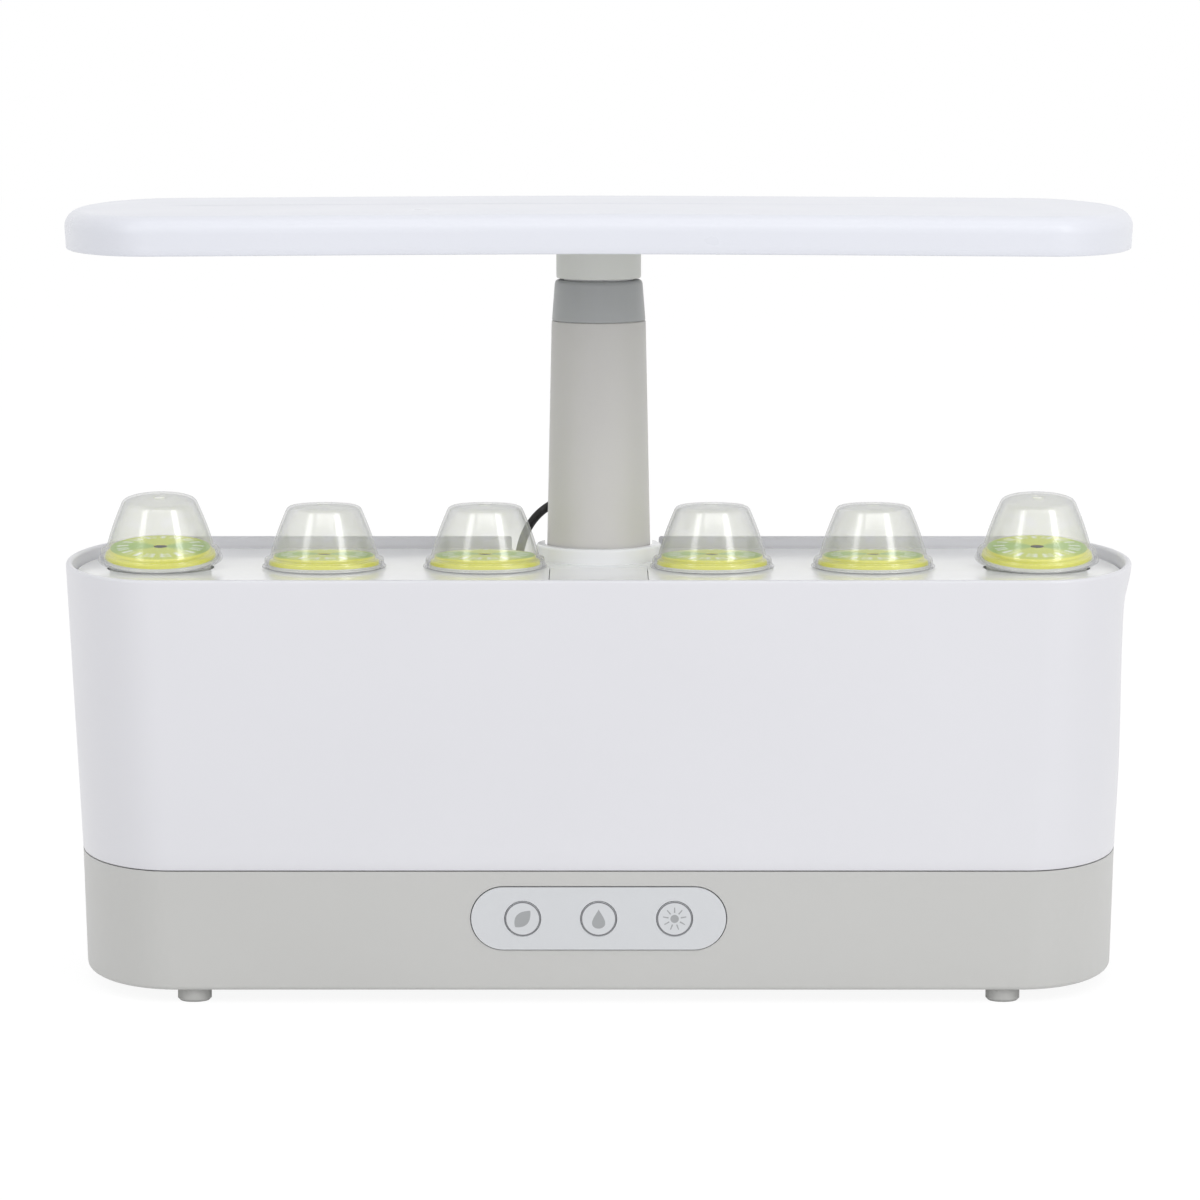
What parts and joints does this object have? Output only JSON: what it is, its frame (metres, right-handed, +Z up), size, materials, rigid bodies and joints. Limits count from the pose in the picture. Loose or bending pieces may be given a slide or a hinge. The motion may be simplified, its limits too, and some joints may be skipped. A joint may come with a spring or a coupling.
{
  "type": "countertop hydroponic garden",
  "caption": "Slim countertop hydroponic garden: oval water basin on a grey base, row of domed seed pods, and a long lamp hood on a telescopic post.",
  "frame": {"origin": "on the table, in the middle of the footprint", "axes": "+X to the right along the length, +Y to the rear, +Z up"},
  "size_m": [0.4014, 0.1571, 0.2938],
  "materials": {
    "white_shell": "satin white plastic",
    "grey_shell": "satin light grey plastic",
    "sleeve_grey": "satin warm grey plastic",
    "collar_grey": "satin mid grey plastic",
    "deck_clear": "milky plastic",
    "clear": "clear plastic",
    "label": "printed card",
    "foam": "growing sponge",
    "basket": "natural plastic",
    "rubber": "grey rubber",
    "lead": "black cable sheath",
    "steel": "plated screws",
    "tube_metal": "satin anodised",
    "board": "circuit board",
    "board_white": "white solder mask",
    "chip": "light chips",
    "black": "black plastic",
    "bush": "acetal",
    "magnet": "ferrite"
  },
  "bodies": {
    "base": {"base_housing": "grey_shell", "bottom_cover": "grey_shell", "rubber_feet": "rubber", "base_screws": "steel", "control_panel": "white_shell", "control_board": "board", "tact_switches": "black", "signal_lamps": "clear", "power_inlet": "black", "pump_motor": "black", "post_sleeve": "sleeve_grey", "post_collar": "collar_grey", "friction_bush": "bush", "lead_gland": "black", "lead_grommet": "black", "lamp_lead": "lead"},
    "food_key": {"food_button": "white_shell"},
    "water_key": {"water_button": "white_shell"},
    "light_key": {"light_button": "white_shell"},
    "motor_magnet": {"drive_magnet": "magnet"},
    "lamp_hood": {"inner_tube": "tube_metal", "hood_hub": "sleeve_grey", "hood_shell": "white_shell", "hood_screws": "steel", "light_diffuser": "clear", "light_board": "board_white", "light_chips": "chip"},
    "tank": {"basin": "white_shell", "pump_cover": "black", "outlet_tube": "clear", "float_cage": "basket"},
    "impeller": {"pump_impeller": "magnet"},
    "float": {"level_float": "black"},
    "deck": {"grow_deck": "deck_clear"},
    "lid": {"fill_lid": "deck_clear"},
    "pod_1": {"basket_1": "basket", "sponge_1": "foam", "label_1": "label"},
    "dome_cap_1": {"dome_1": "clear"},
    "pod_2": {"basket_2": "basket", "sponge_2": "foam", "label_2": "label"},
    "dome_cap_2": {"dome_2": "clear"},
    "pod_3": {"basket_3": "basket", "sponge_3": "foam", "label_3": "label"},
    "dome_cap_3": {"dome_3": "clear"},
    "pod_4": {"basket_4": "basket", "sponge_4": "foam", "label_4": "label"},
    "dome_cap_4": {"dome_4": "clear"},
    "pod_5": {"basket_5": "basket", "sponge_5": "foam", "label_5": "label"},
    "dome_cap_5": {"dome_5": "clear"},
    "pod_6": {"basket_6": "basket", "sponge_6": "foam", "label_6": "label"},
    "dome_cap_6": {"dome_6": "clear"}
  },
  "joints": [
    {"name": "hood_height", "type": "slide", "parent": "base", "child": "lamp_hood", "axis": [0, 0, 1], "range_m": [0, 0.16]},
    {"name": "food_press", "type": "slide", "parent": "base", "child": "food_key", "axis": [0, 0.9951, 0.0989], "range_m": [0, 0.0008], "stiffness_N_per_m": 900, "springref_m": -0.0006},
    {"name": "water_press", "type": "slide", "parent": "base", "child": "water_key", "axis": [0, 0.9951, 0.0989], "range_m": [0, 0.0008], "stiffness_N_per_m": 900, "springref_m": -0.0006},
    {"name": "light_press", "type": "slide", "parent": "base", "child": "light_key", "axis": [0, 0.9951, 0.0989], "range_m": [0, 0.0008], "stiffness_N_per_m": 900, "springref_m": -0.0006},
    {"name": "magnet_spin", "type": "hinge", "parent": "base", "child": "motor_magnet", "pos_m": [0.128, 0, 0.04], "axis": [0, 0, 1], "continuous": true},
    {"name": "tank_slide", "type": "slide", "parent": "base", "child": "tank", "axis": [0, -1, 0], "range_m": [0, 0.15]},
    {"name": "impeller_spin", "type": "hinge", "parent": "tank", "child": "impeller", "pos_m": [0.128, 0, 0.06], "axis": [0, 0, 1], "continuous": true},
    {"name": "float_rise", "type": "slide", "parent": "tank", "child": "float", "axis": [0, 0, 1], "range_m": [0, 0.024]},
    {"name": "deck_lift", "type": "slide", "parent": "tank", "child": "deck", "axis": [0, 0, 1], "range_m": [0, 0.07]},
    {"name": "lid_open", "type": "hinge", "parent": "deck", "child": "lid", "pos_m": [0, 0.0059, 0.1534], "axis": [-1, 0, 0], "range_deg": [0, 84]},
    {"name": "pod_1_lift", "type": "slide", "parent": "deck", "child": "pod_1", "axis": [0, -0.1305, 0.9914], "range_m": [0, 0.062]},
    {"name": "dome_1_lift", "type": "slide", "parent": "pod_1", "child": "dome_cap_1", "axis": [0, -0.1305, 0.9914], "range_m": [0, 0.022]},
    {"name": "pod_2_lift", "type": "slide", "parent": "deck", "child": "pod_2", "axis": [0, 0, 1], "range_m": [0, 0.062]},
    {"name": "dome_2_lift", "type": "slide", "parent": "pod_2", "child": "dome_cap_2", "axis": [0, 0, 1], "range_m": [0, 0.022]},
    {"name": "pod_3_lift", "type": "slide", "parent": "deck", "child": "pod_3", "axis": [0, 0, 1], "range_m": [0, 0.062]},
    {"name": "dome_3_lift", "type": "slide", "parent": "pod_3", "child": "dome_cap_3", "axis": [0, 0, 1], "range_m": [0, 0.022]},
    {"name": "pod_4_lift", "type": "slide", "parent": "deck", "child": "pod_4", "axis": [0, 0, 1], "range_m": [0, 0.062]},
    {"name": "dome_4_lift", "type": "slide", "parent": "pod_4", "child": "dome_cap_4", "axis": [0, 0, 1], "range_m": [0, 0.022]},
    {"name": "pod_5_lift", "type": "slide", "parent": "deck", "child": "pod_5", "axis": [0, 0, 1], "range_m": [0, 0.062]},
    {"name": "dome_5_lift", "type": "slide", "parent": "pod_5", "child": "dome_cap_5", "axis": [0, 0, 1], "range_m": [0, 0.022]},
    {"name": "pod_6_lift", "type": "slide", "parent": "deck", "child": "pod_6", "axis": [0, -0.1305, 0.9914], "range_m": [0, 0.062]},
    {"name": "dome_6_lift", "type": "slide", "parent": "pod_6", "child": "dome_cap_6", "axis": [0, -0.1305, 0.9914], "range_m": [0, 0.022]}
  ],
  "couplings": [
    {"joint": "impeller_spin", "follows": "magnet_spin", "ratio": 1}
  ]
}
